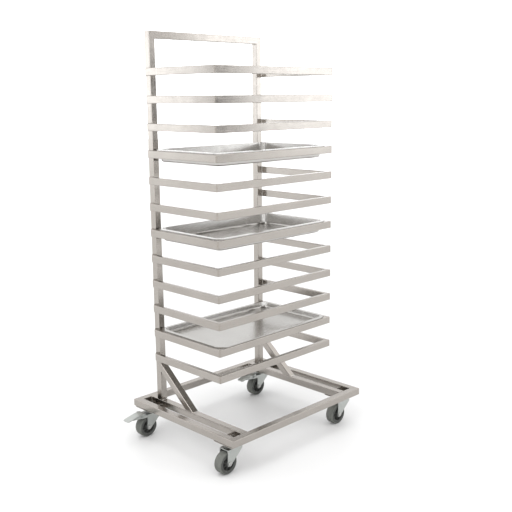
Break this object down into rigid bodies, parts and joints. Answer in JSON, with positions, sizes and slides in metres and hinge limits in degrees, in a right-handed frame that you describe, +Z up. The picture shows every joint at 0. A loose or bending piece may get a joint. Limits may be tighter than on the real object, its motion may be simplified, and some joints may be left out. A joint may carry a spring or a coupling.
{
  "type": "sheet pan rack",
  "caption": "Wheeled stainless steel pan rack: square-tube back frame with forward U-shaped loops holding pans by their rims, tubular base on swivel casters",
  "frame": {"origin": "middle of the whole footprint, brake pedals included, at floor level", "axes": "+Z up, front of the rack (the open ends of the pan spaces) towards -Y, +X to the right of a person facing the front; the rack's own centre line is at X = 0.03850 m, because the rear brake pedals reach out to -X"},
  "size_m": [0.719, 0.52, 1.4],
  "materials": {
    "frame_steel": "satin stainless steel",
    "loop_steel": "satin stainless steel",
    "pan_steel": "polished pressed stainless steel",
    "zinc": "bright zinc plating",
    "fastener": "zinc plated fastener",
    "wheel_plastic": "dark grey moulded plastic",
    "wheel_rubber": "grey non-marking rubber"
  },
  "bodies": {
    "rack_frame": {"left_upright": "frame_steel", "right_upright": "frame_steel", "top_rail": "frame_steel", "left_outer_base_rail": "frame_steel", "right_outer_base_rail": "frame_steel", "left_inner_base_rail": "frame_steel", "right_inner_base_rail": "frame_steel", "front_base_rail": "frame_steel", "rear_base_rail": "frame_steel", "left_brace": "frame_steel", "right_brace": "frame_steel", "tray_loop_01": "loop_steel", "tray_loop_02": "loop_steel", "tray_loop_03": "loop_steel", "tray_loop_04": "loop_steel", "tray_loop_05": "loop_steel", "tray_loop_06": "loop_steel", "tray_loop_07": "loop_steel", "tray_loop_08": "loop_steel", "tray_loop_09": "loop_steel", "tray_loop_10": "loop_steel", "tray_loop_11": "loop_steel", "tray_loop_12": "loop_steel", "caster_pad_front_left": "frame_steel", "caster_plate_front_left": "zinc", "kingpin_front_left": "fastener", "caster_pad_front_right": "frame_steel", "caster_plate_front_right": "zinc", "kingpin_front_right": "fastener", "caster_pad_rear_left": "frame_steel", "caster_plate_rear_left": "zinc", "kingpin_rear_left": "fastener", "caster_pad_rear_right": "frame_steel", "caster_plate_rear_right": "zinc", "kingpin_rear_right": "fastener", "caster_bolts": "fastener", "caster_nuts": "fastener"},
    "caster_fork_front_left": {"fork_front_left": "zinc", "axle_bolt_front_left": "fastener"},
    "wheel_front_left": {"wheel_core_front_left": "wheel_plastic", "tyre_front_left": "wheel_rubber"},
    "caster_fork_front_right": {"fork_front_right": "zinc", "axle_bolt_front_right": "fastener"},
    "wheel_front_right": {"wheel_core_front_right": "wheel_plastic", "tyre_front_right": "wheel_rubber"},
    "caster_fork_rear_left": {"fork_rear_left": "zinc", "axle_bolt_rear_left": "fastener"},
    "wheel_rear_left": {"wheel_core_rear_left": "wheel_plastic", "tyre_rear_left": "wheel_rubber"},
    "brake_rear_left": {"brake_pedal_rear_left": "zinc"},
    "caster_fork_rear_right": {"fork_rear_right": "zinc", "axle_bolt_rear_right": "fastener"},
    "wheel_rear_right": {"wheel_core_rear_right": "wheel_plastic", "tyre_rear_right": "wheel_rubber"},
    "brake_rear_right": {"brake_pedal_rear_right": "zinc"},
    "pan_upper": {"pan_upper": "pan_steel"},
    "pan_middle": {"pan_middle": "pan_steel"},
    "pan_lower": {"pan_lower": "pan_steel"}
  },
  "joints": [
    {"name": "caster_swivel_front_left", "type": "hinge", "parent": "rack_frame", "child": "caster_fork_front_left", "pos_m": [-0.2395, -0.209, 0.09], "axis": [0, 0, 1], "continuous": true},
    {"name": "wheel_spin_front_left", "type": "hinge", "parent": "caster_fork_front_left", "child": "wheel_front_left", "pos_m": [-0.2715, -0.209, 0.0375], "axis": [0, 1, 0], "continuous": true},
    {"name": "caster_swivel_front_right", "type": "hinge", "parent": "rack_frame", "child": "caster_fork_front_right", "pos_m": [0.3165, -0.209, 0.09], "axis": [0, 0, 1], "continuous": true},
    {"name": "wheel_spin_front_right", "type": "hinge", "parent": "caster_fork_front_right", "child": "wheel_front_right", "pos_m": [0.2845, -0.209, 0.0375], "axis": [0, 1, 0], "continuous": true},
    {"name": "caster_swivel_rear_left", "type": "hinge", "parent": "rack_frame", "child": "caster_fork_rear_left", "pos_m": [-0.2395, 0.209, 0.09], "axis": [0, 0, 1], "continuous": true},
    {"name": "wheel_spin_rear_left", "type": "hinge", "parent": "caster_fork_rear_left", "child": "wheel_rear_left", "pos_m": [-0.2715, 0.209, 0.0375], "axis": [0, 1, 0], "continuous": true},
    {"name": "brake_press_rear_left", "type": "hinge", "parent": "caster_fork_rear_left", "child": "brake_rear_left", "pos_m": [-0.2935, 0.209, 0.084], "axis": [0, -1, 0], "range_deg": [0, 12]},
    {"name": "caster_swivel_rear_right", "type": "hinge", "parent": "rack_frame", "child": "caster_fork_rear_right", "pos_m": [0.3165, 0.209, 0.09], "axis": [0, 0, 1], "continuous": true},
    {"name": "wheel_spin_rear_right", "type": "hinge", "parent": "caster_fork_rear_right", "child": "wheel_rear_right", "pos_m": [0.2845, 0.209, 0.0375], "axis": [0, 1, 0], "continuous": true},
    {"name": "brake_press_rear_right", "type": "hinge", "parent": "caster_fork_rear_right", "child": "brake_rear_right", "pos_m": [0.2625, 0.209, 0.084], "axis": [0, -1, 0], "range_deg": [0, 12]},
    {"name": "pan_upper_lift", "type": "slide", "parent": "rack_frame", "child": "pan_upper", "axis": [0, 0, 1], "range_m": [0, 0.05]},
    {"name": "pan_middle_lift", "type": "slide", "parent": "rack_frame", "child": "pan_middle", "axis": [0, 0, 1], "range_m": [0, 0.05]},
    {"name": "pan_lower_lift", "type": "slide", "parent": "rack_frame", "child": "pan_lower", "axis": [0, 0, 1], "range_m": [0, 0.05]}
  ]
}
